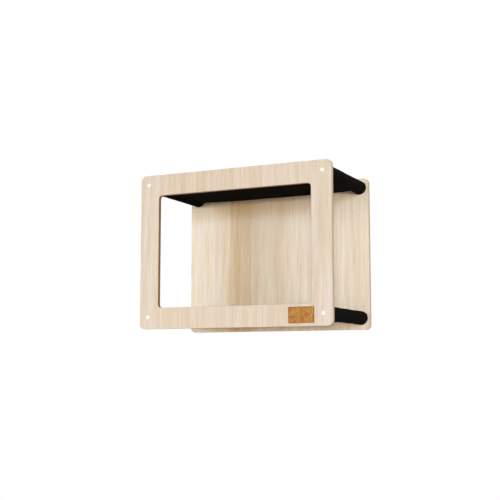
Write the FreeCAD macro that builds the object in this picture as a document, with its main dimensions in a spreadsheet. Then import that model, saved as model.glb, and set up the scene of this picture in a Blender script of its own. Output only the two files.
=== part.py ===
"""Wall-mounted cat hideout, in millimetres.

Two plywood panels stand one behind the other, held apart by four rods. The back panel is screwed to
the wall. The front panel is a frame round a window. A canvas loop is stretched between the two upper
rods as a roof, and another between the two lower rods as a floor. The sides stay open.

The origin is the middle of the back panel's wall face. X runs to the right as the front is seen,
Y runs into the wall and Z runs up.
"""
import FreeCAD, Part
import os
import re

import Sketcher

doc = FreeCAD.newDocument("cat_hideout")

# Driving sizes: name, millimetres, what is measured
SIZES = (
    ("panel_width", 550, "both panels, left to right"),
    ("panel_height", 414, "both panels, bottom to top"),
    ("panel_thickness", 12, "plywood of both panels"),
    ("panel_corner_radius", 14, "outer corners of both panels"),
    ("panel_edge_radius", 1, "rounded arris of the plywood"),
    ("cabin_depth", 270, "clear space between the panels, the rods' length"),
    ("frame_stile_width", 55.5, "wood left and right of the window"),
    ("frame_rail_height", 56, "wood above and below the window"),
    ("window_corner_radius", 10, "inner corners of the window"),
    ("rod_diameter", 32, "hardwood dowel"),
    ("rod_end_chamfer", 1, "bevel on the dowel's ends"),
    ("rod_side_inset", 24.5, "panel side to rod axis"),
    ("upper_rod_drop", 26, "panel top to upper rod axis"),
    ("lower_rod_rise", 31.5, "panel bottom to lower rod axis"),
    ("insert_diameter", 10, "threaded insert, outside"),
    ("insert_length", 20, "threaded insert, end to end"),
    ("insert_recess", 0.5, "rod end to insert"),
    ("insert_fit", 0.05, "radial play of the insert in the rod and of the bolt in the insert"),
    ("insert_chamfer", 0.6, "bevel on the insert's ends"),
    ("bolt_diameter", 6, "shank of the M6 bolts"),
    ("bolt_engagement", 18, "bolt inside the rod"),
    ("bolt_tip_chamfer", 0.8, "bevel on the bolt's tip"),
    ("bolt_tip_room", 4, "bore beyond the insert"),
    ("bolt_hole_clearance", 0.25, "radial play of the bolt in a panel"),
    ("front_head_diameter", 10.5, "button head of the front bolts"),
    ("front_head_height", 3.3, "button head of the front bolts"),
    ("front_head_rounding", 2, "rounded rim of the button head"),
    ("socket_flats", 4, "hexagon socket, across flats"),
    ("socket_depth", 2.2, "hexagon socket"),
    ("rear_head_diameter", 12, "countersunk head of the rear bolts"),
    ("countersink_fit", 0.05, "radial play of a rear bolt's head in its countersink"),
    ("head_clearance", 0.25, "radial play of a front bolt's head in its counterbore"),
    ("cap_recess", 1.7, "cap inside the front frame"),
    ("cap_proud", 0.6, "cap in front of the front frame"),
    ("cap_fit", 0.1, "radial play of the cap in its seat"),
    ("cap_peg_fit", 0.1, "play of the cap's peg in the socket, all round and at its end"),
    ("wall_hole_diameter", 5.5, "hole for a wall screw"),
    ("wall_hole_sink_diameter", 11, "countersink for a wall screw's head"),
    ("wall_hole_side_inset", 110, "panel side to wall screw axis"),
    ("wall_hole_edge_inset", 20, "panel top or bottom to wall screw axis"),
    ("cloth_thickness", 1.7, "one layer of canvas"),
    ("sleeve_play", 0.3, "rod to canvas sleeve"),
    ("sling_end_gap", 1, "sling to each panel"),
    ("sling_neck_radius", 14, "curve where the sleeve is drawn in to its seam"),
    ("sling_seam_drop", 4.5, "rod axis down to the seam, midway between the two layers"),
    ("roof_sag", 3, "fall of the roof cloth at mid span"),
    ("floor_sag", 6, "fall of the floor cloth at mid span"),
    ("label_width", 69, "leather patch"),
    ("label_height", 41, "leather patch"),
    ("label_thickness", 1.5, "leather patch"),
    ("label_corner_radius", 2, "leather patch"),
    ("label_edge_radius", 0.5, "burnished rim of the leather patch"),
    ("label_side_inset", 49, "right side of the front frame to the patch"),
)
COUNTERSINK_ANGLE = 90

sizes = doc.addObject("Spreadsheet::Sheet", "Sizes")
for row, (alias, value, meaning) in enumerate(SIZES, start=1):
    sizes.set(f"A{row}", alias)
    sizes.set(f"B{row}", str(value))
    sizes.set(f"C{row}", meaning)
    sizes.setAlias(f"B{row}", alias)
doc.recompute()
ALIASES = {alias for alias, value, meaning in SIZES}

# Places that several pieces share, as formulas of the sizes
LEFT_ROD_X = "rod_side_inset - panel_width / 2"
RIGHT_ROD_X = "panel_width / 2 - rod_side_inset"
UPPER_ROD_Z = "panel_height / 2 - upper_rod_drop"
LOWER_ROD_Z = "lower_rod_rise - panel_height / 2"
BACK_PANEL_FRONT_Y = "-panel_thickness"
FRAME_REAR_Y = "-panel_thickness - cabin_depth"
FRAME_FRONT_Y = "-2 * panel_thickness - cabin_depth"
BOLT_SEAT_DEPTH = "(front_head_height + cap_recess)"
CORNERS = [
    ("upper_left", LEFT_ROD_X, UPPER_ROD_Z),
    ("upper_right", RIGHT_ROD_X, UPPER_ROD_Z),
    ("lower_left", LEFT_ROD_X, LOWER_ROD_Z),
    ("lower_right", RIGHT_ROD_X, LOWER_ROD_Z),
]
NEAR = 1e-4


def in_sheet(formula):
    """The formula with each size written as a cell of the sheet."""
    return re.sub(r"[a-z_]+", lambda word: f"Sizes.{word[0]}" if word[0] in ALIASES else word[0], formula)


def number(formula):
    """What the formula comes to now."""
    return float(sizes.evalExpression(in_sheet(formula)))


def bind(item, path, formula):
    """Tie a property to the sizes."""
    item.setExpression(path, in_sheet(formula))


def new_body(name, x, y, z):
    """An empty piece, placed by three formulas."""
    body = doc.addObject("PartDesign::Body", name)
    body.Label = name
    bind(body, "Placement.Base.x", x)
    bind(body, "Placement.Base.y", y)
    bind(body, "Placement.Base.z", z)
    return body


def new_sketch(body, name, role, forward="0"):
    """A sketch on one of the piece's own planes, moved along the plane's normal."""
    sketch = body.newObject("Sketcher::SketchObject", name)
    plane = [item for item in body.Origin.OriginFeatures if item.Role == role][0]
    sketch.AttachmentSupport = [(plane, "")]
    sketch.MapMode = "FlatFace"
    bind(sketch, "AttachmentOffset.Base.z", forward)
    return sketch


def pin_point(sketch, shape, point, across, up):
    """Hold one point of a sketched line or circle at a place given by two formulas."""
    for kind, axis, formula in (("DistanceX", -2, across), ("DistanceY", -1, up)):
        distance = number(formula)
        if abs(distance) < NEAR:
            sketch.addConstraint(Sketcher.Constraint("PointOnObject", shape, point, axis))
        elif distance > 0:
            index = sketch.addConstraint(Sketcher.Constraint(kind, -1, 1, shape, point, distance))
            bind(sketch, f"Constraints[{index}]", formula)
        else:
            index = sketch.addConstraint(Sketcher.Constraint(kind, shape, point, -1, 1, -distance))
            bind(sketch, f"Constraints[{index}]", f"-({formula})")


def draw_outline(sketch, corners):
    """A closed outline of straight lines through the corners, each a pair of formulas."""
    points = [FreeCAD.Vector(number(across), number(up), 0) for across, up in corners]
    count = len(points)
    first = sketch.GeometryCount
    for index, point in enumerate(points):
        sketch.addGeometry(Part.LineSegment(point, points[(index + 1) % count]))
    for index, (across, up) in enumerate(corners):
        following = first + (index + 1) % count
        sketch.addConstraint(Sketcher.Constraint("Coincident", first + index, 2, following, 1))
        pin_point(sketch, first + index, 1, across, up)


def draw_rectangle(sketch, half_width, half_height):
    """A rectangle about the sketch's own origin."""
    left, right = f"-({half_width})", half_width
    low, high = f"-({half_height})", half_height
    draw_outline(sketch, [(left, low), (right, low), (right, high), (left, high)])


def draw_circle(sketch, across, up, radius):
    """A circle with its centre and radius given by formulas."""
    centre = FreeCAD.Vector(number(across), number(up), 0)
    circle = sketch.addGeometry(Part.Circle(centre, FreeCAD.Vector(0, 0, 1), number(radius)))
    pin_point(sketch, circle, 3, across, up)
    index = sketch.addConstraint(Sketcher.Constraint("Radius", circle, number(radius)))
    bind(sketch, f"Constraints[{index}]", radius)


def pad(body, name, sketch, length):
    """Raise a sketch along its normal."""
    feature = body.newObject("PartDesign::Pad", name)
    feature.Profile = sketch
    bind(feature, "Length", length)
    doc.recompute()
    return feature


def pocket(body, name, sketch, depth=None):
    """Cut a sketch against its normal, right through where no depth is given."""
    before = body.Shape.Volume
    feature = body.newObject("PartDesign::Pocket", name)
    feature.Profile = sketch
    if depth:
        bind(feature, "Length", depth)
    else:
        feature.Type = "ThroughAll"
        feature.Midplane = True
    doc.recompute()
    if body.Shape.Volume > before - NEAR:
        raise RuntimeError(f"{name} cuts nothing")
    return feature


def revolve(body, name, sketch):
    """Turn a half outline about the sketch's upright axis."""
    feature = body.newObject("PartDesign::Revolution", name)
    feature.Profile = sketch
    feature.ReferenceAxis = (sketch, ["V_Axis"])
    feature.Angle = 360
    doc.recompute()
    return feature


def round_edges(body, name, base, radius, wanted):
    """Round every edge of the base feature that the test picks."""
    edges = [f"Edge{i}" for i, edge in enumerate(base.Shape.Edges, start=1) if wanted(edge)]
    feature = body.newObject("PartDesign::Fillet", name)
    feature.Base = (base, edges)
    bind(feature, "Radius", radius)
    doc.recompute()
    return feature


def runs_along_y(edge):
    """True for a straight edge that runs from the front to the back."""
    if not isinstance(edge.Curve, Part.Line):
        return False
    return abs(abs(edge.Curve.Direction.y) - 1) < NEAR


def lies_at(edge, depth):
    """True for an edge whose every end lies in the plane at that depth."""
    return all(abs(vertex.Y - depth) < NEAR for vertex in edge.Vertexes)


def drill(body, name, places, diameter, forward, sink):
    """Through holes with a sunk seat at the sketch's side: a counterbore, or a countersink."""
    sketch = new_sketch(body, f"{name}_places", "XZ_Plane", forward)
    for across, up in places:
        draw_circle(sketch, across, up, f"({diameter}) / 2")
    doc.recompute()
    before = body.Shape.Volume
    hole = body.newObject("PartDesign::Hole", name)
    hole.Profile = sketch
    hole.Threaded = False
    hole.DepthType = "ThroughAll"
    hole.HoleCutType = sink["kind"]
    hole.HoleCutCustomValues = True
    bind(hole, "Diameter", diameter)
    bind(hole, "HoleCutDiameter", sink["diameter"])
    if sink["kind"] == "Counterbore":
        bind(hole, "HoleCutDepth", sink["depth"])
    else:
        hole.HoleCutCountersinkAngle = COUNTERSINK_ANGLE
    hole.Reversed = sink["from_rear"]
    doc.recompute()
    if body.Shape.Volume > before - NEAR:
        raise RuntimeError(f"{name} cuts nothing")


def panel(name, rear_y, window):
    """One plywood panel, rounded at its corners and along its arrises, with or without a window."""
    body = new_body(name, "0", rear_y, "0")
    board_sketch = new_sketch(body, f"{name}_board_outline", "XZ_Plane")
    draw_rectangle(board_sketch, "panel_width / 2", "panel_height / 2")
    board = pad(body, f"{name}_board", board_sketch, "panel_thickness")
    cut = round_edges(body, f"{name}_corners", board, "panel_corner_radius", runs_along_y)
    if window:
        window_sketch = new_sketch(body, f"{name}_window_outline", "XZ_Plane")
        draw_rectangle(
            window_sketch,
            "panel_width / 2 - frame_stile_width",
            "panel_height / 2 - frame_rail_height",
        )
        opening = pocket(body, f"{name}_window", window_sketch)
        half_window = number("panel_width / 2 - frame_stile_width")
        cut = round_edges(
            body,
            f"{name}_window_corners",
            opening,
            "window_corner_radius",
            lambda edge: runs_along_y(edge) and abs(abs(edge.Vertexes[0].X) - half_window) < NEAR,
        )
    front = -number("panel_thickness")
    round_edges(
        body,
        f"{name}_arrises",
        cut,
        "panel_edge_radius",
        lambda edge: lies_at(edge, 0) or lies_at(edge, front),
    )
    return body


def back_panel():
    """The board on the wall: rear bolts sunk into its wall face, wall screws into its front face."""
    body = panel("back_panel", "0", window=False)
    drill(
        body,
        "rear_bolt_holes",
        [(x, z) for corner, x, z in CORNERS],
        "bolt_diameter + 2 * bolt_hole_clearance",
        "0",
        {"kind": "Countersink", "diameter": "rear_head_diameter + 2 * countersink_fit", "from_rear": True},
    )
    side = "panel_width / 2 - wall_hole_side_inset"
    edge = "panel_height / 2 - wall_hole_edge_inset"
    drill(
        body,
        "wall_screw_holes",
        [(x, z) for x in (side, f"-({side})") for z in (edge, f"-({edge})")],
        "wall_hole_diameter",
        "panel_thickness",
        {"kind": "Countersink", "diameter": "wall_hole_sink_diameter", "from_rear": False},
    )
    return body


def front_frame():
    """The window frame: each bolt's head and its cap sit in a counterbore in the front face."""
    body = panel("front_frame", FRAME_REAR_Y, window=True)
    drill(
        body,
        "front_bolt_holes",
        [(x, z) for corner, x, z in CORNERS],
        "bolt_diameter + 2 * bolt_hole_clearance",
        "panel_thickness",
        {
            "kind": "Counterbore",
            "diameter": "front_head_diameter + 2 * head_clearance",
            "depth": BOLT_SEAT_DEPTH,
            "from_rear": False,
        },
    )
    return body


def turned_piece(name, x, y, z, half_outline):
    """A piece turned about an axis along Y; the outline gives radius and depth of each corner."""
    body = new_body(name, x, y, z)
    sketch = new_sketch(body, f"{name}_half_outline", "XY_Plane")
    draw_outline(sketch, half_outline)
    revolve(body, f"{name}_turned", sketch)
    return body


def rod(corner, x, z):
    """A dowel between the panels, with a bore in each end for its insert and the bolt's tip."""
    radius = "rod_diameter / 2"
    shoulder = "rod_diameter / 2 - rod_end_chamfer"
    bore = "insert_diameter / 2 + insert_fit"
    bore_depth = "insert_recess + insert_length + bolt_tip_room"
    outline = [
        ("0", f"-({bore_depth})"),
        (bore, f"-({bore_depth})"),
        (bore, "0"),
        (shoulder, "0"),
        (radius, "-rod_end_chamfer"),
        (radius, "rod_end_chamfer - cabin_depth"),
        (shoulder, "-cabin_depth"),
        (bore, "-cabin_depth"),
        (bore, f"{bore_depth} - cabin_depth"),
        ("0", f"{bore_depth} - cabin_depth"),
    ]
    return turned_piece(f"{corner}_rod", x, BACK_PANEL_FRONT_Y, z, outline)


def insert(corner, end, x, y, z):
    """A threaded sleeve inside a rod's end; its thread is drawn as a plain bore."""
    outer = "insert_diameter / 2"
    inner = "bolt_diameter / 2 + insert_fit"
    outline = [
        (inner, "0"),
        (f"{outer} - insert_chamfer", "0"),
        (outer, "-insert_chamfer"),
        (outer, "insert_chamfer - insert_length"),
        (f"{outer} - insert_chamfer", "-insert_length"),
        (inner, "-insert_length"),
    ]
    return turned_piece(f"{corner}_{end}_insert", x, y, z, outline)


def rear_bolt(corner, x, z):
    """A countersunk bolt through the back panel; its flat head is flush with the wall face."""
    head = "rear_head_diameter / 2"
    shank = "bolt_diameter / 2"
    tip = "-panel_thickness - bolt_engagement"
    outline = [
        ("0", "0"),
        (head, "0"),
        (shank, f"{shank} - {head}"),
        (shank, f"{tip} + bolt_tip_chamfer"),
        (f"{shank} - bolt_tip_chamfer", tip),
        ("0", tip),
    ]
    body = turned_piece(f"{corner}_rear_bolt", x, "0", z, outline)
    cut_socket(body, f"{corner}_rear_socket", "socket_depth")
    return body


def front_bolt(corner, x, z):
    """A button head bolt, seated on the floor of its counterbore and screwed into the rod."""
    head = "front_head_diameter / 2"
    shank = "bolt_diameter / 2"
    tip = f"panel_thickness - {BOLT_SEAT_DEPTH} + bolt_engagement"
    outline = [
        ("0", "-front_head_height"),
        (head, "-front_head_height"),
        (head, "0"),
        (shank, "0"),
        (shank, f"{tip} - bolt_tip_chamfer"),
        (f"{shank} - bolt_tip_chamfer", tip),
        ("0", tip),
    ]
    body = turned_piece(f"{corner}_front_bolt", x, f"{FRAME_FRONT_Y} + {BOLT_SEAT_DEPTH}", z, outline)
    top = -number("front_head_height")
    round_edges(body, f"{corner}_head_rim", body.Tip, "front_head_rounding", lambda edge: lies_at(edge, top))
    cut_socket(body, f"{corner}_front_socket", "front_head_height")
    return body


def cut_socket(body, name, forward):
    """A hexagon socket, cut towards the wall from a plane in front of the piece's own origin."""
    sketch = new_sketch(body, f"{name}_outline", "XZ_Plane", forward)
    corner = "socket_flats / sqrt(3)"
    flat = "socket_flats / 2"
    half = f"{corner} / 2"
    draw_outline(
        sketch,
        [
            (corner, "0"),
            (half, flat),
            (f"-{half}", flat),
            (f"-{corner}", "0"),
            (f"-{half}", f"-{flat}"),
            (half, f"-{flat}"),
        ],
    )
    pocket(body, name, sketch, "socket_depth")


def bolt_cap(corner, x, z):
    """A moulded cap that lies on the bolt's head and snaps into its socket with a peg."""
    disc = "front_head_diameter / 2 + head_clearance - cap_fit"
    peg = "socket_flats / 2 - cap_peg_fit"
    peg_end = "socket_depth - cap_peg_fit"
    face = "-cap_recess - cap_proud"
    outline = [("0", face), (disc, face), (disc, "0"), (peg, "0"), (peg, peg_end), ("0", peg_end)]
    body = turned_piece(f"{corner}_bolt_cap", x, f"{FRAME_FRONT_Y} + cap_recess", z, outline)
    front = number(face)
    round_edges(body, f"{corner}_cap_rim", body.Tip, "cap_proud", lambda edge: lies_at(edge, front))
    return body


def sling(name, z, sag):
    """A canvas loop round two rods. Its two layers are sewn together beside each rod, a little below its
    axis, which makes a sleeve for the rod and leaves a double sheet between them that sags a little."""
    body = new_body(name, "0", f"{BACK_PANEL_FRONT_Y} - sling_end_gap", z)
    length = "cabin_depth - 2 * sling_end_gap"
    half_span = f"({RIGHT_ROD_X})"
    sleeve_radius = "rod_diameter / 2 + sleeve_play + cloth_thickness"

    sheet_sketch = new_sketch(body, f"{name}_sheet_outline", "XZ_Plane")
    sag_radius = f"({half_span} ^ 2 + {sag} ^ 2) / (2 * {sag})"
    reach, fall = number(half_span), number(sag)
    sheet_bottom, sheet_top = "-sling_seam_drop - cloth_thickness", "cloth_thickness - sling_seam_drop"
    for height in (sheet_bottom, sheet_top):
        level = number(height)
        curve = sheet_sketch.addGeometry(
            Part.Arc(
                FreeCAD.Vector(-reach, level, 0),
                FreeCAD.Vector(0, level - fall, 0),
                FreeCAD.Vector(reach, level, 0),
            )
        )
        pin_point(sheet_sketch, curve, 1, LEFT_ROD_X, height)
        pin_point(sheet_sketch, curve, 2, RIGHT_ROD_X, height)
        index = sheet_sketch.addConstraint(Sketcher.Constraint("Radius", curve, number(sag_radius)))
        bind(sheet_sketch, f"Constraints[{index}]", sag_radius)
    for end, side in ((1, -reach), (2, reach)):
        low = FreeCAD.Vector(side, number(sheet_bottom), 0)
        high = FreeCAD.Vector(side, number(sheet_top), 0)
        line = sheet_sketch.addGeometry(Part.LineSegment(low, high))
        sheet_sketch.addConstraint(Sketcher.Constraint("Coincident", line, 1, 0, end))
        sheet_sketch.addConstraint(Sketcher.Constraint("Coincident", line, 2, 1, end))
    pad(body, f"{name}_sheet", sheet_sketch, length)

    sleeve_sketch = new_sketch(body, f"{name}_sleeve_outlines", "XZ_Plane")
    bore_sketch = new_sketch(body, f"{name}_bore_outlines", "XZ_Plane")
    for x in (LEFT_ROD_X, RIGHT_ROD_X):
        draw_circle(sleeve_sketch, x, "0", sleeve_radius)
        draw_circle(bore_sketch, x, "0", "rod_diameter / 2 + sleeve_play")
    sleeves = pad(body, f"{name}_sleeves", sleeve_sketch, length)

    def joins_sleeve(edge):
        """True for the inner corner where the flat sheet meets a sleeve."""
        return runs_along_y(edge) and abs(edge.Vertexes[0].X) < reach - NEAR

    round_edges(body, f"{name}_necks", sleeves, "sling_neck_radius", joins_sleeve)
    pocket(body, f"{name}_bores", bore_sketch)
    return body


def label_patch():
    """A bare leather patch, glued to the lower rail of the front frame at half its height."""
    x = "panel_width / 2 - label_side_inset - label_width / 2"
    z = "frame_rail_height / 2 - panel_height / 2"
    body = new_body("label_patch", x, FRAME_FRONT_Y, z)
    sketch = new_sketch(body, "label_outline", "XZ_Plane")
    draw_rectangle(sketch, "label_width / 2", "label_height / 2")
    leather = pad(body, "label_leather", sketch, "label_thickness")
    cut = round_edges(body, "label_corners", leather, "label_corner_radius", runs_along_y)
    front = -number("label_thickness")
    round_edges(body, "label_rim", cut, "label_edge_radius", lambda edge: lies_at(edge, front))
    return body


pieces = [back_panel(), front_frame(), label_patch()]
pieces.append(sling("roof_sling", UPPER_ROD_Z, "roof_sag"))
pieces.append(sling("floor_sling", LOWER_ROD_Z, "floor_sag"))
for corner, x, z in CORNERS:
    pieces.append(rod(corner, x, z))
    pieces.append(insert(corner, "rear", x, f"{BACK_PANEL_FRONT_Y} - insert_recess", z))
    pieces.append(insert(corner, "front", x, f"{FRAME_REAR_Y} + insert_recess + insert_length", z))
    pieces.append(rear_bolt(corner, x, z))
    pieces.append(front_bolt(corner, x, z))
    pieces.append(bolt_cap(corner, x, z))

doc.recompute()
for item in doc.Objects:
    if "Invalid" in item.State or "Error" in item.State:
        raise RuntimeError(f"{item.Label} failed: {item.State}")
for piece in pieces:
    if piece.Shape.isNull() or not piece.Shape.isValid() or len(piece.Shape.Solids) != 1:
        raise RuntimeError(f"{piece.Label} is not one valid solid")

os.makedirs("parts", exist_ok=True)
for piece in pieces:
    piece.Shape.exportStep(f"parts/{piece.Label}.step")
    print(f"{piece.Label}: {piece.Shape.Volume:.1f} cubic millimetres")
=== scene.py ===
"""Looks of the wall-mounted cat hideout: a veneered back panel and window frame, held apart by four rods
that carry a black canvas roof and floor. All sizes are in metres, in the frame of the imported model."""
import bisect
import math
from types import SimpleNamespace

import bpy
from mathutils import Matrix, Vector, noise


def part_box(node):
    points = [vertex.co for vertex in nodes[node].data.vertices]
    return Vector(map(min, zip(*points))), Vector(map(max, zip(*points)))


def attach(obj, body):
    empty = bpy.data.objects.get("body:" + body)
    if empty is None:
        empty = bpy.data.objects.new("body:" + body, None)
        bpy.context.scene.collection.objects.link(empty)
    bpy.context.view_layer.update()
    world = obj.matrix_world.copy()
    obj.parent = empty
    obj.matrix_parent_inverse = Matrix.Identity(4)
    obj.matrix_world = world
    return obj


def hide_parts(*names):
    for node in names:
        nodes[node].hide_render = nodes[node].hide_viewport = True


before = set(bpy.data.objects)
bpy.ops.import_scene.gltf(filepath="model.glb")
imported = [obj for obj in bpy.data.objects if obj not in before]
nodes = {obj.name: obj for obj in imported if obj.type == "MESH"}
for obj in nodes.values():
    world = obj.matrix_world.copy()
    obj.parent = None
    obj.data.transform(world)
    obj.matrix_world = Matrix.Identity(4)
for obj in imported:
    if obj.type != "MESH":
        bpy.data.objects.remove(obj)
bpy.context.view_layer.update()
scene = bpy.context.scene

# Back panel
# A 12 mm plywood board faced on both sides with pale sliced veneer, its straight grain upright. It is sawn
# to size, its corners are rounded and its edges sanded, and it is screwed to the wall before the rest.

MM = 0.001


def linear(shade):
    """The linear colour that a node takes, from an sRGB hex value such as #e7d9c4."""
    parts = [int(shade[place : place + 2], 16) / 255 for place in (1, 3, 5)]
    return [p / 12.92 if p <= 0.04045 else ((p + 0.055) / 1.055) ** 2.4 for p in parts] + [1.0]


def add_node(tree, kind, inputs=None, stops=(), **settings):
    """Adds one node. An input takes a value, a socket, or a node, which gives its first live output;
    stops are the places and colours of a colour ramp, in rising order."""
    node = tree.nodes.new(kind)
    for setting, value in settings.items():
        setattr(node, setting, value)
    for number, (place, colour) in enumerate(stops):
        elements = node.color_ramp.elements
        element = elements[number] if number < len(elements) else elements.new(place)
        element.position = place
        element.color = colour
    for name, source in (inputs or {}).items():
        named = [s for s in node.inputs if s.enabled and s.name == name]
        socket = node.inputs[name] if isinstance(name, int) else named[0]
        if isinstance(source, bpy.types.Node):
            source = next(s for s in source.outputs if s.enabled)
        if isinstance(source, bpy.types.NodeSocket):
            tree.links.new(source, socket)
        else:
            socket.default_value = source
    return node


def blank_material(name):
    """A material with an empty node tree, and that tree."""
    material = bpy.data.materials.new(name)
    material.use_nodes = True
    material.node_tree.nodes.clear()
    return material, material.node_tree


def dress(node_name, material):
    """Gives a CAD node its finish."""
    for slot in nodes[node_name].material_slots:
        slot.material = material


def sliced_grain(tree, place, log_offset):
    """Noise drawn out along the grain, once for each width of mark that sliced veneer shows, from broad
    bands to single pores. The place it is read at, bent, wavers a little, as a tree grows."""
    waver_length, waver_reach = 420 * MM, 5 * MM
    waver = add_node(tree, "ShaderNodeTexNoise",
                     {"Vector": place.outputs["Object"], "Scale": 1 / waver_length, "Detail": 1.0})
    bent = add_node(tree, "ShaderNodeVectorMath",
                    {0: waver.outputs["Color"], 1: (waver_reach, 0, 0), 2: place.outputs["Object"]},
                    operation="MULTIPLY_ADD")
    grain = {"bent": bent}
    for mark, width, length, detail in (
        ("band", 46 * MM, 900 * MM, 1.0),
        ("tint", 21 * MM, 400 * MM, 1.0),
        ("streak", 14 * MM, 260 * MM, 1.0),
        ("line", 3.6 * MM, 190 * MM, 1.0),
        ("fibre", 1.3 * MM, 70 * MM, 2.0),
        ("pore", 0.5 * MM, 9 * MM, 0.0),
    ):
        drawn_out = add_node(tree, "ShaderNodeMapping",
                             {"Vector": bent, "Location": log_offset, "Scale": (1 / width, 0, 1 / length)})
        grain[mark] = add_node(tree, "ShaderNodeTexNoise",
                               {"Vector": drawn_out, "Scale": 1.0, "Detail": detail, "Roughness": 0.55})
    return grain


def veneer_face(tree, grain, ground_shades, heart_mm):
    """The veneer's own colour: streaks of the three ground_shades, from palest to straw, some pinker and
    some yellower, with tan where the slice runs through heartwood, then fine lines, fibres and pores.
    heart_mm says at some places across the board, in millimetres, what share of heartwood shows."""
    pale_cream, cream, straw = [linear(shade) for shade in ground_shades]
    yellow_tint, pink_tint, heartwood = linear("#fffdf4"), linear("#fffbfa"), linear("#d3b68c")
    white, line_shade, fibre_shade, pore_shade = [
        linear(shade) for shade in ("#ffffff", "#faf6ef", "#f4efe6", "#eadecd")]

    # Most noise values lie between 0.3 and 0.7. The stops for pores lie lower, so that pores are few.
    streak_share = 0.55
    tone = add_node(tree, "ShaderNodeMix",
                    {"Factor": streak_share, "A": grain["band"], "B": grain["streak"]})
    ground = add_node(tree, "ShaderNodeValToRGB", {"Fac": tone},
                      stops=((0.36, pale_cream), (0.5, cream), (0.66, straw)))
    tints = add_node(tree, "ShaderNodeValToRGB", {"Fac": grain["tint"]},
                     stops=((0.36, yellow_tint), (0.62, pink_tint)))
    tinted = add_node(tree, "ShaderNodeMix", {"Factor": 1.0, "A": ground, "B": tints},
                      data_type="RGBA", blend_type="MULTIPLY")

    board_low, board_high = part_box("back_panel")
    board_width = board_high.x - board_low.x
    across = add_node(tree, "ShaderNodeSeparateXYZ", {"Vector": grain["bent"]})
    board_share = add_node(tree, "ShaderNodeMapRange",
                           {"Value": across.outputs["X"], "From Min": board_low.x, "From Max": board_high.x})
    heart = add_node(tree, "ShaderNodeValToRGB", {"Fac": board_share},
                     stops=[((x * MM - board_low.x) / board_width, (share, share, share, 1))
                            for x, share in heart_mm])
    heart_streaks = add_node(tree, "ShaderNodeMapRange",
                             {"Value": grain["streak"], "From Min": 0.3, "From Max": 0.68, "To Min": 0.72})
    heart_amount = add_node(tree, "ShaderNodeMath", {0: heart, 1: heart_streaks}, operation="MULTIPLY")
    face = add_node(tree, "ShaderNodeMix", {"Factor": heart_amount, "A": tinted, "B": heartwood},
                    data_type="RGBA")

    for mark, dark_at, light_at, shade in (
        ("line", 0.36, 0.56, line_shade),
        ("fibre", 0.36, 0.6, fibre_shade),
        ("pore", 0.25, 0.32, pore_shade),
    ):
        marks = add_node(tree, "ShaderNodeValToRGB", {"Fac": grain[mark]},
                         stops=((dark_at, shade), (light_at, white)))
        face = add_node(tree, "ShaderNodeMix", {"Factor": 1.0, "A": face, "B": marks},
                        data_type="RGBA", blend_type="MULTIPLY")
    return face


def wave_scale(period):
    """The scale at which a wave texture repeats once in each period, given in metres. At scale 1 its sine
    turns by 20 radians in a metre."""
    turn_per_metre = 20
    return math.tau / (turn_per_metre * period)


def plywood_edge(tree, place, window):
    """The board's edge: nine plies, pale where their grain runs along the edge and darker where it runs
    out of it, between thin glue lines. The edge of a window, given by half its width and height, is
    painted darker brown, as painted shade in the window's reveal."""
    board_thickness, ply_count = 12 * MM, 9
    ply_thickness = board_thickness / ply_count
    arris = 2 * MM
    long_ply, glue_line, end_ply = linear("#ead8bc"), linear("#cfb189"), linear("#dec49d")
    # The window's edge is painted darker brown, as painted shade in its reveal.
    painted_reveal_shade = linear("#c7a98f")

    plies = add_node(tree, "ShaderNodeTexWave",
                     {"Vector": place.outputs["Object"], "Scale": wave_scale(2 * ply_thickness),
                      "Distortion": 0.6, "Detail": 1.0},
                     bands_direction="Y")
    edge = add_node(tree, "ShaderNodeValToRGB", {"Fac": plies.outputs["Fac"]},
                    stops=((0.4, long_ply), (0.52, glue_line), (0.64, end_ply)))
    if window is None:
        return edge
    half_width, half_height = window
    from_middle = add_node(tree, "ShaderNodeVectorMath", {0: place.outputs["Object"]}, operation="ABSOLUTE")
    window_share = add_node(tree, "ShaderNodeVectorMath",
                            {0: from_middle, 1: (half_width + arris, 1, half_height + arris)},
                            operation="DIVIDE")
    reach = add_node(tree, "ShaderNodeSeparateXYZ", {"Vector": window_share})
    farthest = add_node(tree, "ShaderNodeMath", {0: reach.outputs["X"], 1: reach.outputs["Z"]},
                        operation="MAXIMUM")
    # Inside the window's box the edge takes the painted reveal shade.
    reveal_shade_mask = add_node(tree, "ShaderNodeMath", {0: farthest, 1: 1.0}, operation="LESS_THAN")
    return add_node(tree, "ShaderNodeMix", {"Factor": reveal_shade_mask, "A": edge, "B": painted_reveal_shade},
                    data_type="RGBA", blend_type="MULTIPLY")


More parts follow.
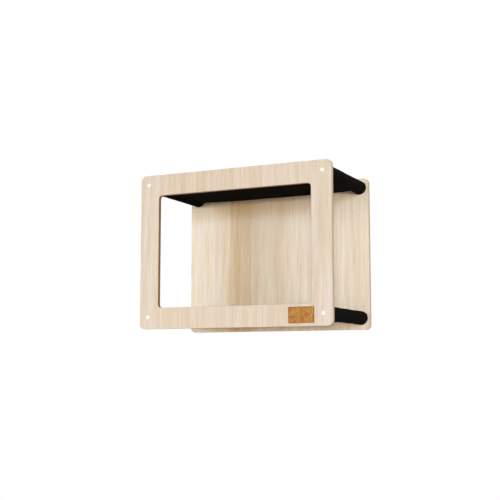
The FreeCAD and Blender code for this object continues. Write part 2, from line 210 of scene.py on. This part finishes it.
def veneered_plywood(name, log_offset, ground_shades, heart_mm, window=None):
    """Plywood faced with sliced pale hardwood under matt lacquer: to the eye, straight soft streaks with
    hardly any gloss, and the stripes of the plies along the edges."""
    fibre_depth = 0.12 * MM
    material, tree = blank_material(name)
    place = add_node(tree, "ShaderNodeTexCoord")
    grain = sliced_grain(tree, place, log_offset)
    face = veneer_face(tree, grain, ground_shades, heart_mm)
    edge = plywood_edge(tree, place, window)
    facing = add_node(tree, "ShaderNodeSeparateXYZ", {"Vector": place.outputs["Normal"]})
    flatness = add_node(tree, "ShaderNodeMath", {0: facing.outputs["Y"]}, operation="ABSOLUTE")
    veneer_amount = add_node(tree, "ShaderNodeMapRange",
                             {"Value": flatness, "From Min": 0.3, "From Max": 0.8})
    colour = add_node(tree, "ShaderNodeMix", {"Factor": veneer_amount, "A": edge, "B": face},
                      data_type="RGBA")
    roughness = add_node(tree, "ShaderNodeMapRange",
                         {"Value": grain["fibre"], "From Min": 0.3, "From Max": 0.7,
                          "To Min": 0.5, "To Max": 0.64})
    relief = add_node(tree, "ShaderNodeBump",
                      {"Height": grain["fibre"], "Strength": 0.4, "Distance": fibre_depth})
    shader = add_node(tree, "ShaderNodeBsdfPrincipled",
                      {"Base Color": colour, "Roughness": roughness, "Normal": relief, "IOR": 1.5,
                       "Specular IOR Level": 0.3})
    add_node(tree, "ShaderNodeOutputMaterial", {"Surface": shader})
    return material


# The back panel's veneer shades are paler than the front frame's, as painted light that makes up for the
# shade inside the hideout.
dress("back_panel", veneered_plywood(
    "back_panel_sliced_veneer", log_offset=(3.1, 0, 1.7), ground_shades=("#f5f3ec", "#f2ece2", "#ece4d3"),
    heart_mm=((-275, 0), (-208, 0.05), (-147, 0.45), (-140, 0.85), (-77, 0.76), (-72, 0.45), (-62, 0.6),
              (-53, 0.32), (22, 0.3), (62, 0.12), (275, 0.08))))

# Rods
# Four 32 mm beech dowels, turned and sanded, that hold the two boards apart. The canvas sleeves hide them
# but for the last millimetre at each end. Both ends are bored for a threaded insert.

corners = ("upper_left", "upper_right", "lower_left", "lower_right")


def turned_beech():
    """Sanded beech without lacquer: a pinkish tan with fine grain along the rod and short dark flecks."""
    grain_width, grain_length = 2 * MM, 60 * MM
    fleck_width, fleck_length = 0.7 * MM, 5 * MM
    grain_depth = 0.1 * MM
    light_beech, dark_beech, fleck = linear("#d9b78c"), linear("#c49b6c"), linear("#9c6f45")

    material, tree = blank_material("turned_beech")
    place = add_node(tree, "ShaderNodeTexCoord")
    noises = []
    for width, length, detail in ((grain_width, grain_length, 2.0), (fleck_width, fleck_length, 0.0)):
        drawn_out = add_node(tree, "ShaderNodeMapping",
                             {"Vector": place.outputs["Object"],
                              "Scale": (1 / width, 1 / length, 1 / width)})
        noises.append(add_node(tree, "ShaderNodeTexNoise",
                               {"Vector": drawn_out, "Scale": 1.0, "Detail": detail}))
    rings, flecks = noises
    ground = add_node(tree, "ShaderNodeMix", {"Factor": rings, "A": light_beech, "B": dark_beech},
                      data_type="RGBA")
    fleck_amount = add_node(tree, "ShaderNodeMapRange",
                            {"Value": flecks, "From Min": 0.62, "From Max": 0.7, "To Max": 0.7})
    colour = add_node(tree, "ShaderNodeMix", {"Factor": fleck_amount, "A": ground, "B": fleck},
                      data_type="RGBA")
    relief = add_node(tree, "ShaderNodeBump", {"Height": rings, "Strength": 0.3, "Distance": grain_depth})
    roughness = add_node(tree, "ShaderNodeMapRange", {"Value": rings, "To Min": 0.6, "To Max": 0.75})
    shader = add_node(tree, "ShaderNodeBsdfPrincipled",
                      {"Base Color": colour, "Roughness": roughness, "Normal": relief, "IOR": 1.5})
    add_node(tree, "ShaderNodeOutputMaterial", {"Surface": shader})
    return material


beech = turned_beech()
for corner in corners:
    dress(f"{corner}_rod", beech)

# Threaded inserts and bolts
# M6 steel fasteners, zinc plated: an insert in each end of a rod, a countersunk bolt through the back panel
# into the rear one, and a button-head bolt through the front frame into the front one.


def zinc_plated_steel():
    """Steel with a clear-passivated zinc plate: a cool pale metal, mottled by the spangle of the bath."""
    spangle = 1.5 * MM
    bright_zinc, dull_zinc = linear("#d2d5d8"), linear("#b3b8bd")

    material, tree = blank_material("zinc_plated_steel")
    place = add_node(tree, "ShaderNodeTexCoord")
    mottle = add_node(tree, "ShaderNodeTexNoise",
                      {"Vector": place.outputs["Object"], "Scale": 1 / spangle, "Detail": 3.0})
    colour = add_node(tree, "ShaderNodeMix", {"Factor": mottle, "A": bright_zinc, "B": dull_zinc},
                      data_type="RGBA")
    roughness = add_node(tree, "ShaderNodeMapRange", {"Value": mottle, "To Min": 0.28, "To Max": 0.45})
    shader = add_node(tree, "ShaderNodeBsdfPrincipled",
                      {"Base Color": colour, "Roughness": roughness, "Metallic": 1.0})
    add_node(tree, "ShaderNodeOutputMaterial", {"Surface": shader})
    return material


zinc = zinc_plated_steel()
for corner in corners:
    for fastener in ("rear_insert", "front_insert", "rear_bolt", "front_bolt"):
        dress(f"{corner}_{fastener}", zinc)

# Roof and floor slings
# Each is one strip of black canvas, hemmed at both edges and sewn end to end into a loop. The loop goes
# round two rods and is sewn through both layers beside each rod, which leaves a tight double sheet between.


def black_canvas():
    """Plain-weave black canvas: a matt, nearly lightless black with the small relief of its crossing
    threads. Its colour is painted darker in the gaps between threads, as painted shade, and greyer on the
    threads' crowns, as a little lint and painted highlight. It has hardly any gloss."""
    # The real threads lie 0.6 mm apart, too fine to show, so the weave is drawn at twice that.
    thread_spacing = 1.2 * MM
    weave_depth = 0.25 * MM
    fade_size = 70 * MM
    # The gaps between threads are painted darker, as painted shade, and the crowns greyer, as lint and
    # painted highlight.
    gap_painted_shade_black, crown_lint_and_painted_highlight, faded_black = linear("#070707"), linear("#1e1e1e"), linear("#1c1c1b")

    material, tree = blank_material("black_canvas_plain_weave")
    cloth = add_node(tree, "ShaderNodeTexCoord")
    warp, weft = [
        add_node(tree, "ShaderNodeTexWave",
                 {"Vector": cloth.outputs["UV"], "Scale": wave_scale(thread_spacing)},
                 bands_direction=direction)
        for direction in ("X", "Y")]
    over = add_node(tree, "ShaderNodeTexChecker",
                    {"Vector": cloth.outputs["UV"], "Scale": 1 / thread_spacing})
    weave = add_node(tree, "ShaderNodeMix",
                     {"Factor": over.outputs["Fac"], "A": warp.outputs["Fac"], "B": weft.outputs["Fac"]})
    # Painted weave shading: dark in the gaps, lighter on the crowns.
    painted_weave_shading = add_node(tree, "ShaderNodeMix", {"Factor": weave, "A": gap_painted_shade_black, "B": crown_lint_and_painted_highlight},
                       data_type="RGBA")
    fading = add_node(tree, "ShaderNodeTexNoise",
                      {"Vector": cloth.outputs["UV"], "Scale": 1 / fade_size, "Detail": 4.0})
    fade_amount = add_node(tree, "ShaderNodeMapRange",
                           {"Value": fading, "From Min": 0.45, "From Max": 0.75, "To Max": 0.4})
    colour = add_node(tree, "ShaderNodeMix", {"Factor": fade_amount, "A": painted_weave_shading, "B": faded_black},
                      data_type="RGBA")
    roughness = add_node(tree, "ShaderNodeMapRange", {"Value": weave, "To Min": 0.95, "To Max": 0.85})
    relief = add_node(tree, "ShaderNodeBump", {"Height": weave, "Strength": 0.5, "Distance": weave_depth})
    shader = add_node(tree, "ShaderNodeBsdfPrincipled",
                      {"Base Color": colour, "Roughness": roughness, "Normal": relief, "IOR": 1.5,
                       "Specular IOR Level": 0.01})
    add_node(tree, "ShaderNodeOutputMaterial", {"Surface": shader})
    return material


def black_thread():
    """Spun polyester sewing thread: a charcoal black, smoother than the canvas, with a fine twist. Its
    grooves are painted darker and its ridges lighter, as painted shade and highlight.
    """
    twist, twist_depth = 0.8 * MM, 0.1 * MM
    groove_painted_shade_black, ridge_painted_highlight_grey = linear("#1b1b1b"), linear("#3a3a3a")

    material, tree = blank_material("black_polyester_thread")
    place = add_node(tree, "ShaderNodeTexCoord")
    plies = add_node(tree, "ShaderNodeTexWave",
                     {"Vector": place.outputs["Object"], "Scale": wave_scale(twist), "Distortion": 1.0},
                     bands_direction="DIAGONAL")
    # The twist's grooves are painted darker and its ridges lighter, as painted shade and highlight.
    colour = add_node(tree, "ShaderNodeMix",
                      {"Factor": plies.outputs["Fac"], "A": groove_painted_shade_black, "B": ridge_painted_highlight_grey}, data_type="RGBA")
    relief = add_node(tree, "ShaderNodeBump",
                      {"Height": plies.outputs["Fac"], "Strength": 0.4, "Distance": twist_depth})
    shader = add_node(tree, "ShaderNodeBsdfPrincipled",
                      {"Base Color": colour, "Roughness": 0.6, "Normal": relief, "IOR": 1.5,
                       "Specular IOR Level": 0.2})
    add_node(tree, "ShaderNodeOutputMaterial", {"Surface": shader})
    return material


def smooth_step(value, low, high):
    """0 below low, 1 above high, and a smooth rise between."""
    share = min(max((value - low) / (high - low), 0.0), 1.0)
    return share * share * (3 - 2 * share)


def sheet_object(name, points, faces, material):
    """A smooth-shaded mesh object of the given points and faces."""
    mesh = bpy.data.meshes.new(name)
    mesh.from_pydata(points, [], faces)
    mesh.shade_smooth()
    mesh.materials.append(material)
    piece = bpy.data.objects.new(name, mesh)
    scene.collection.objects.link(piece)
    return piece


canvas = black_canvas()
thread = black_thread()
# The middle of each layer lies layer_offset from the seam, and the seams lie seam_drop below the rods' axes.
# At the neck a layer bends away from the seam with neck_radius and runs onto its sleeve.
cloth_thickness = 1.5 * MM
layer_offset = 0.85 * MM
seam_drop = 4.5 * MM
neck_radius = 14.85 * MM
hem_width = 11 * MM
stitch_length, stitch_gap, thread_radius = 3.2 * MM, 0.8 * MM, 0.32 * MM


def half_layer(side, rod_x, sleeve_radius):
    """The right half of one layer, 1 for the upper or -1 for the lower: points and outward directions in
    X and Z about the rods' axes, from the middle of the sheet through the neck to the sleeve's far side.
    Also the X where the neck begins."""
    sheet_step, neck_steps, sleeve_steps = 4.5 * MM, 8, 22
    sheet_height = layer_offset - side * seam_drop
    neck_height = sheet_height + neck_radius
    neck_reach = math.sqrt((sleeve_radius + neck_radius) ** 2 - neck_height**2)
    neck_x = rod_x - neck_reach
    meeting = math.atan2(neck_height, neck_reach)
    sheet_steps = round(neck_x / sheet_step)

    line = [(neck_x * step / sheet_steps, sheet_height, 0, 1) for step in range(sheet_steps)]
    for step in range(neck_steps):
        turn = -math.pi / 2 + (math.pi / 2 - meeting) * step / neck_steps
        across, up = math.cos(turn), math.sin(turn)
        line.append((neck_x + neck_radius * across, neck_height + neck_radius * up, -across, -up))
    for step in range(sleeve_steps):
        turn = (math.pi - meeting) * (1 - step / sleeve_steps)
        across, up = math.cos(turn), math.sin(turn)
        line.append((rod_x + sleeve_radius * across, sleeve_radius * up, across, up))
    return [(Vector((x, side * z)), Vector((across, side * up))) for x, z, across, up in line], neck_x


def loop_section(rod_x, sleeve_radius):
    """The loop's closed section round rods at -rod_x and rod_x. It starts in the middle of the upper layer
    and runs to the right. Also the X of the upper necks, where the seams lie."""
    upper, neck_x = half_layer(1, rod_x, sleeve_radius)
    lower, _ = half_layer(-1, rod_x, sleeve_radius)
    far_side = (Vector((rod_x + sleeve_radius, 0)), Vector((1, 0)))
    right = upper + [far_side] + lower[::-1]
    left = [(Vector((-point.x, point.y)), Vector((-outward.x, outward.y)))
            for point, outward in reversed(right[1:-1])]
    return right + left, neck_x


def lay(sling, point, outward, y, lift=0.0):
    """Where a point of the section comes to lie at depth y, lifted off the cloth's middle by lift. The
    sheet hangs, draws in between the rods, ripples, and puckers at the seams; the sleeves crease a little
    round the rods, and the hems are thicker."""
    draw_in = 2.5 * MM
    ripple_height, ripple_width, ripple_length = 0.7 * MM, 26 * MM, 230 * MM
    pucker_height, pucker_width, pucker_reach = 0.5 * MM, 9 * MM, 24 * MM
    slack_height, slack_size, slack_layer = 1.3 * MM, 120 * MM, 5
    crease_height, crease_length, crease_turn = 0.7 * MM, 34 * MM, 0.5
    crease_start, crease_full = -0.5, 0.2
    hem_lift, hem_fold, hem_end, seam_width = 0.45 * MM, 2 * MM, 1 * MM, 6 * MM

    x = point.x
    belly = 1 - (x / sling.rod_x) ** 2
    edge_distance = sling.half_depth - abs(y - sling.middle_y)
    neck_reach = sling.rod_x - sling.neck_x
    on_sheet = smooth_step(sling.rod_x - abs(x), sling.sleeve_radius, neck_reach + seam_width)
    from_seam = max(sling.neck_x - abs(x), 0.0)
    own_side = math.copysign(sling.log, x)

    hang = -(sling.sag + sling.dish * smooth_step(edge_distance, 0, sling.half_depth)) * belly
    ripple = ripple_height * noise.noise((x / ripple_length, y / ripple_width, sling.log))
    pucker = pucker_height * noise.noise((own_side, y / pucker_width, sling.log))
    slack = slack_height * noise.noise((x / slack_size, y / slack_size, sling.log + slack_layer))
    settle = on_sheet * (hang + ripple + slack + pucker * math.exp(-from_seam / pucker_reach))

    around_rod = math.atan2(point.y, abs(x) - sling.rod_x)
    crease = noise.noise((around_rod / crease_turn, y / crease_length, own_side))
    crease_rise = (crease - crease_start) * smooth_step(crease, crease_start, crease_full)
    lift += (1 - on_sheet) * crease_height * crease_rise
    lift += hem_lift * (1 - smooth_step(edge_distance, hem_width - hem_fold, hem_width + hem_end))
    narrowed = sling.middle_y + (y - sling.middle_y) * (1 - draw_in / sling.half_depth * on_sheet * belly)
    return Vector((x + outward.x * lift, narrowed, sling.rod_z + point.y + outward.y * lift + settle))


def canvas_loop(part, sling):
    """The canvas: the section laid in rows from the front hem to the rear one, closer over the hems. Its
    UV map is the cut cloth, in metres along the loop and across it, so that the weave lies straight."""
    hem_shares = (0, 0.1, 0.3, 0.6, 0.82, 0.91, 1, 1.09, 1.3)
    row_step, edge_rounding, edge_angle = 4.5 * MM, 0.45 * MM, math.radians(50)
    hem_rows = [share * hem_width for share in hem_shares]
    inner_depth = 2 * (sling.half_depth - hem_rows[-1])
    inner_steps = round(inner_depth / row_step)
    rows = [sling.front + row for row in hem_rows]
    rows += [rows[-1] + inner_depth * step / inner_steps for step in range(1, inner_steps)]
    rows += [sling.rear - row for row in reversed(hem_rows)]

    count = len(sling.section)
    points = [lay(sling, point, outward, y) for y in rows for point, outward in sling.section]
    faces, flat_corners = [], []
    for row in range(len(rows) - 1):
        for step in range(count):
            beside = (step + 1) % count
            faces.append((row * count + step, row * count + beside,
                          (row + 1) * count + beside, (row + 1) * count + step))
            near, far = sling.along[step], sling.along[step + 1]
            flat_corners += [(near, rows[row]), (far, rows[row]),
                             (far, rows[row + 1]), (near, rows[row + 1])]
    cloth = sheet_object(f"{part}_canvas", points, faces, canvas)
    cut_cloth = cloth.data.uv_layers.new(name="cut_cloth")
    for number, flat_corner in enumerate(flat_corners):
        cut_cloth.data[number].uv = flat_corner

    body = cloth.modifiers.new("cloth_body", "SOLIDIFY")
    body.thickness = cloth_thickness
    body.offset = 0.0
    edge = cloth.modifiers.new("soft_hem_edge", "BEVEL")
    edge.width = edge_rounding
    edge.segments = 2
    edge.limit_method = "ANGLE"
    edge.angle_limit = edge_angle
    return cloth


def run_stitches(start, end, thread_at):
    """Stitches one after the other from start to end, each as its three places: where the thread leaves
    the cloth, its top, and where it goes in again. thread_at gives a place for a distance and a lift."""
    proud_share = 0.6
    bridge = cloth_thickness / 2 + proud_share * thread_radius
    dive = cloth_thickness / 2 - thread_radius
    stitches = []
    while start + stitch_length < end:
        stitches.append((thread_at(start, dive), thread_at(start + stitch_length / 2, bridge),
                         thread_at(start + stitch_length, dive)))
        start += stitch_length + stitch_gap
    return stitches


def sew(sling):
    """All stitches of a sling: two seams beside each rod, seen on both faces, and one along each hem."""
    seam_insets = (2 * MM, 8 * MM)
    hem_seam_share = 0.8
    stitches = []
    for inset in seam_insets:
        for seam_x in (inset - sling.neck_x, sling.neck_x - inset):
            for face in (1, -1):
                point, outward = Vector((seam_x, face * layer_offset - seam_drop)), Vector((0, face))
                stitches += run_stitches(sling.front + stitch_gap, sling.rear,
                                         lambda y, lift: lay(sling, point, outward, y, lift))

    def hem_thread(length, y, lift):
        """A place on the hem's seam at a length along the loop."""
        step = bisect.bisect_right(sling.along, length) - 1
        share = (length - sling.along[step]) / (sling.along[step + 1] - sling.along[step])
        (here, here_out), (there, there_out) = sling.section[step], sling.section[step + 1]
        return lay(sling, here.lerp(there, share), here_out.lerp(there_out, share).normalized(), y, lift)

    inset = hem_seam_share * hem_width
    for y in (sling.front + inset, sling.rear - inset):
        stitches += run_stitches(0.0, sling.along[-2], lambda length, lift: hem_thread(length, y, lift))
    return stitches


def stitch_thread(part, stitches):
    """The visible thread: a short six-sided tube for each stitch, bowed over the cloth."""
    sides = 6
    end_share = 0.7
    points, faces = [], []
    for start, top, end in stitches:
        run = (end - start).normalized()
        up = (top - (start + end) / 2).normalized()
        sideways = run.cross(up)
        first = len(points)
        for place, share in ((start, end_share), (top, 1.0), (end, end_share)):
            for number in range(sides):
                turn = math.tau * number / sides
                ray = math.cos(turn) * sideways + math.sin(turn) * up
                points.append(place + share * thread_radius * ray)
        for ring in (first, first + sides):
            for number in range(sides):
                beside = (number + 1) % sides
                faces.append((ring + number, ring + beside, ring + sides + beside, ring + sides + number))
        faces.append(tuple(range(first + sides - 1, first - 1, -1)))
        faces.append(tuple(range(first + 2 * sides, first + 3 * sides)))
    return sheet_object(f"{part}_seam_thread", points, faces, thread)


def make_sling(part, side, sag, dish, log):
    """One canvas loop and the thread that sews it. side names its rods, upper or lower; sag is how far the
    sheet hangs at its middle, dish how much more it gives halfway between the panels, and log gives each
    sling its own creases."""
    low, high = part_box(f"{part}_sling")
    rod_low, rod_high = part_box(f"{side}_right_rod")
    rod_x, rod_z = (rod_low.x + rod_high.x) / 2, (rod_low.z + rod_high.z) / 2
    sleeve_radius = high.x - rod_x - layer_offset
    section, neck_x = loop_section(rod_x, sleeve_radius)
    along = [0.0]
    for (here, _), (there, _) in zip(section, section[1:] + section[:1]):
        along.append(along[-1] + (there - here).length)
    sling = SimpleNamespace(
        section=section, along=along, rod_x=rod_x, rod_z=rod_z, sleeve_radius=sleeve_radius, neck_x=neck_x,
        front=low.y, rear=high.y, middle_y=(low.y + high.y) / 2, half_depth=(high.y - low.y) / 2,
        sag=sag, dish=dish, log=log)

    cloth = canvas_loop(part, sling)
    seams = stitch_thread(part, sew(sling))
    for piece in (cloth, seams):
        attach(piece, "root")
    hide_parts(f"{part}_sling")


make_sling("roof", "upper", sag=3 * MM, dish=0.5 * MM, log=1.3)
make_sling("floor", "lower", sag=6 * MM, dish=1.5 * MM, log=7.9)

# Front frame
# A second board of the same plywood and veneer, with a window sawn out and its edges sanded. It goes on
# last, over the slings, and a button-head bolt in each corner draws it against the rods.

stile_width, rail_height = 55.5 * MM, 56 * MM
frame_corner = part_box("front_frame")[1]
# These shades are darker than the back panel's, whose veneer is painted paler as painted light.
dress("front_frame", veneered_plywood(
    "front_frame_sliced_veneer", log_offset=(11.4, 0, 5.2), ground_shades=("#e9e5e1", "#e4ded5", "#dcd4c3"),
    heart_mm=((-235, 0), (-200, 0.16), (-120, 0.22), (0, 0.18), (140, 0.2), (220, 0)),
    window=(frame_corner.x - stile_width, frame_corner.z - rail_height)))

# Bolt caps
# Small white moulded plastic caps that lie on the heads of the front bolts, each snapped into the bolt's
# socket with a peg, so that four white dots show in the frame's corners.


def moulded_white_plastic():
    """Injection-moulded white polypropylene: a clean, slightly waxy white with a fine eroded texture."""
    texture_grit, grit_depth = 0.8 * MM, 0.05 * MM
    clean_white, warm_white = linear("#f9f9f8"), linear("#f3f3f0")

    material, tree = blank_material("moulded_white_plastic")
    place = add_node(tree, "ShaderNodeTexCoord")
    grit = add_node(tree, "ShaderNodeTexNoise",
                    {"Vector": place.outputs["Object"], "Scale": 1 / texture_grit, "Detail": 2.0})
    colour = add_node(tree, "ShaderNodeMix", {"Factor": grit, "A": clean_white, "B": warm_white},
                      data_type="RGBA")
    roughness = add_node(tree, "ShaderNodeMapRange", {"Value": grit, "To Min": 0.35, "To Max": 0.5})
    relief = add_node(tree, "ShaderNodeBump", {"Height": grit, "Strength": 0.15, "Distance": grit_depth})
    shader = add_node(tree, "ShaderNodeBsdfPrincipled",
                      {"Base Color": colour, "Roughness": roughness, "Normal": relief, "IOR": 1.49})
    add_node(tree, "ShaderNodeOutputMaterial", {"Surface": shader})
    return material


white_plastic = moulded_white_plastic()
for corner in corners:
    dress(f"{corner}_bolt_cap", white_plastic)

# Leather patch
# A bare patch of vegetable-tanned cowhide, 1.5 mm thick, cut square, burnished dark along its edges and
# glued to the lower rail of the front frame.


def hide_grain(tree, place):
    """The hide's surface as noise: broad clouds of oil, small scuffs, and a net of fine creases, whose
    lines wander because the place they are read at is wrinkled."""
    cloud_size, scuff_size, crease_spacing = 17 * MM, 3.2 * MM, 1.1 * MM
    wrinkle_size, wrinkle_reach = 1.6 * MM, 1.3 * MM
    clouds = add_node(tree, "ShaderNodeTexNoise",
                      {"Vector": place.outputs["Object"], "Scale": 1 / cloud_size, "Detail": 4.0,
                       "Roughness": 0.6})
    scuffs = add_node(tree, "ShaderNodeTexNoise",
                      {"Vector": place.outputs["Object"], "Scale": 1 / scuff_size, "Detail": 5.0,
                       "Roughness": 0.65})
    wrinkles = add_node(tree, "ShaderNodeTexNoise",
                        {"Vector": place.outputs["Object"], "Scale": 1 / wrinkle_size, "Detail": 2.0})
    wrinkled = add_node(tree, "ShaderNodeVectorMath",
                        {0: wrinkles.outputs["Color"], 1: (wrinkle_reach, 0, wrinkle_reach),
                         2: place.outputs["Object"]},
                        operation="MULTIPLY_ADD")
    creases = add_node(tree, "ShaderNodeTexVoronoi", {"Vector": wrinkled, "Scale": 1 / crease_spacing},
                       feature="DISTANCE_TO_EDGE")
    return clouds, scuffs, creases


def tanned_leather(low, high):
    """Vegetable-tanned cowhide, oiled: a golden tan with darker clouds and scuffs, a net of fine creases
    painted darker as painted shade, and dark rubbed edges. low and high are the patch's corners."""
    rub_width, rub_share, crease_depth = 2.5 * MM, 0.85, 0.12 * MM
    golden_tan, oiled_tan, burnished = linear("#c99445"), linear("#ac712b"), linear("#86511b")
    scuff_shade, crease_painted_shade, white = linear("#c4a384"), linear("#ebe0d3"), linear("#ffffff")
    half_width, half_height = (high.x - low.x) / 2, (high.z - low.z) / 2

    material, tree = blank_material("vegetable_tanned_leather")
    place = add_node(tree, "ShaderNodeTexCoord")
    clouds, scuffs, creases = hide_grain(tree, place)
    hide = add_node(tree, "ShaderNodeValToRGB", {"Fac": clouds},
                    stops=((0.36, oiled_tan), (0.58, golden_tan)))
    # The creases are painted darker, as painted shade; the scuffs are the hide's own wear.
    for grain, dark_at, light_at, shade in (
        (scuffs, 0.36, 0.56, scuff_shade),
        (creases, 0.0, 0.1, crease_painted_shade),
    ):
        marks = add_node(tree, "ShaderNodeValToRGB", {"Fac": grain},
                         stops=((dark_at, shade), (light_at, white)))
        hide = add_node(tree, "ShaderNodeMix", {"Factor": 1.0, "A": hide, "B": marks},
                        data_type="RGBA", blend_type="MULTIPLY")

    from_centre = add_node(tree, "ShaderNodeVectorMath", {0: place.outputs["Object"], 1: (low + high) / 2},
                           operation="SUBTRACT")
    outwards = add_node(tree, "ShaderNodeVectorMath", {0: from_centre}, operation="ABSOLUTE")
    reach = add_node(tree, "ShaderNodeSeparateXYZ", {"Vector": outwards})
    side_rub, end_rub = [
        add_node(tree, "ShaderNodeMapRange",
                 {"Value": reach.outputs[axis], "From Min": half - rub_width, "From Max": half,
                  "To Max": rub_share})
        for axis, half in (("X", half_width), ("Z", half_height))]
    rubbed = add_node(tree, "ShaderNodeMath", {0: side_rub, 1: end_rub}, operation="MAXIMUM")
    colour = add_node(tree, "ShaderNodeMix", {"Factor": rubbed, "A": hide, "B": burnished}, data_type="RGBA")

    roughness = add_node(tree, "ShaderNodeMapRange", {"Value": clouds, "To Min": 0.45, "To Max": 0.62})
    plump = add_node(tree, "ShaderNodeMapRange", {"Value": creases, "From Max": 0.3},
                     interpolation_type="SMOOTHSTEP")
    relief = add_node(tree, "ShaderNodeBump", {"Height": plump, "Strength": 0.4, "Distance": crease_depth})
    shader = add_node(tree, "ShaderNodeBsdfPrincipled",
                      {"Base Color": colour, "Roughness": roughness, "Normal": relief, "IOR": 1.5,
                       "Specular IOR Level": 0.3})
    add_node(tree, "ShaderNodeOutputMaterial", {"Surface": shader})
    return material


dress("label_patch", tanned_leather(*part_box("label_patch")))

# Floor and light
# A pale floor well below the hideout, a dim, warm room, and five soft lamps, three in front and two behind.
# The camera sees floor and room as plain white, and the floor keeps what shadow falls on it.

floor_drop, floor_reach = 1.5, 4.5
room_light, room_colour = 0.205, "#ffd9b0"


def painted_floor():
    """Matt off-white floor paint with a faint roller texture. The camera's own rays see it lifted to
    white."""
    roller_size = 12 * MM
    camera_lift = 0.65
    light_paint, worn_paint = linear("#f4f4f2"), linear("#eeeeeb")

    material, tree = blank_material("painted_floor")
    place = add_node(tree, "ShaderNodeTexCoord")
    roller = add_node(tree, "ShaderNodeTexNoise",
                      {"Vector": place.outputs["Object"], "Scale": 1 / roller_size})
    colour = add_node(tree, "ShaderNodeMix", {"Factor": roller, "A": light_paint, "B": worn_paint},
                      data_type="RGBA")
    ray = add_node(tree, "ShaderNodeLightPath")
    lift = add_node(tree, "ShaderNodeMath", {0: ray.outputs["Is Camera Ray"], 1: camera_lift},
                    operation="MULTIPLY")
    paint = add_node(tree, "ShaderNodeBsdfPrincipled",
                     {"Base Color": colour, "Roughness": 0.8, "Emission Color": linear("#ffffff"),
                      "Emission Strength": lift, "Specular IOR Level": 0.1})
    add_node(tree, "ShaderNodeOutputMaterial", {"Surface": paint})
    return material


floor_corners = [(x * floor_reach, y * floor_reach, -floor_drop)
                 for x, y in ((-1, -1), (1, -1), (1, 1), (-1, 1))]
floor = sheet_object("studio_floor", floor_corners, [(0, 1, 2, 3)], painted_floor())

room = bpy.data.worlds.new("white_room")
room.use_nodes = True
room.node_tree.nodes.clear()
ray = add_node(room.node_tree, "ShaderNodeLightPath")
seen = add_node(room.node_tree, "ShaderNodeMath",
                {0: ray.outputs["Is Camera Ray"], 1: ray.outputs["Is Glossy Ray"]}, operation="MAXIMUM")
seen_or_through = add_node(room.node_tree, "ShaderNodeMath",
                           {0: seen, 1: ray.outputs["Is Transmission Ray"]}, operation="MAXIMUM")
strength = add_node(room.node_tree, "ShaderNodeMapRange", {"Value": seen_or_through, "To Min": room_light})
wall_colour = add_node(room.node_tree, "ShaderNodeMix",
                       {"Factor": seen_or_through, "A": linear(room_colour), "B": linear("#ffffff")},
                       data_type="RGBA")
walls = add_node(room.node_tree, "ShaderNodeBackground", {"Color": wall_colour, "Strength": strength})
add_node(room.node_tree, "ShaderNodeOutputWorld", {"Surface": walls})
scene.world = room


def seen_from(azimuth, elevation):
    """The direction from the hideout towards an eye or lamp: azimuth 0 is straight in front."""
    return Vector((math.sin(azimuth) * math.cos(elevation),
                   -math.cos(azimuth) * math.cos(elevation),
                   math.sin(elevation)))


# A lamp of strength pi lights a white surface that faces it to exactly white. The low lamp and the room are
# warm, and the high and left lamps are cool, so that lit faces are nearly white and the shade under the
# roof is warm. The left lamp fills that shade, and the two rear lamps light the sides and the back.
for name, level, colour, azimuth, elevation, spread in (
    ("low_front_lamp", 0.41, "#ffebd0", 21, -2.4, 4),
    ("high_front_lamp", 0.37, "#cee4ff", 21, 5, 9),
    ("left_front_lamp", 0.29, "#eef5ff", -35, 3, 24),
    ("right_rear_lamp", 0.2, "#ffffff", 135, 25, 40),
    ("left_rear_lamp", 0.4, "#ffffff", -140, 25, 40),
):
    lamp = bpy.data.objects.new(name, bpy.data.lights.new(name, "SUN"))
    lamp.data.energy = level * math.pi
    lamp.data.color = linear(colour)[:3]
    lamp.data.angle = math.radians(spread)
    towards_lamp = seen_from(math.radians(azimuth), math.radians(elevation))
    lamp.rotation_euler = towards_lamp.to_track_quat("Z", "Y").to_euler()
    scene.collection.objects.link(lamp)

# Camera
# It stands in front and to the right, a little below the hideout, and looks slightly up at it.

camera_azimuth, camera_elevation = math.radians(25.54), math.radians(-6.82)
camera_distance = 2.7886
aim = Vector((-0.0712, -0.0371, 0.0236))
focal_pixels, image_pixels = 980.5, 500
camera = bpy.data.objects.new("camera", bpy.data.cameras.new("camera"))
camera.data.sensor_fit = "HORIZONTAL"
camera.data.lens = camera.data.sensor_width * focal_pixels / image_pixels
towards_camera = seen_from(camera_azimuth, camera_elevation)
camera.location = aim + camera_distance * towards_camera
camera.rotation_euler = towards_camera.to_track_quat("Z", "Y").to_euler()
scene.collection.objects.link(camera)
scene.camera = camera
scene.view_settings.view_transform = "Standard"
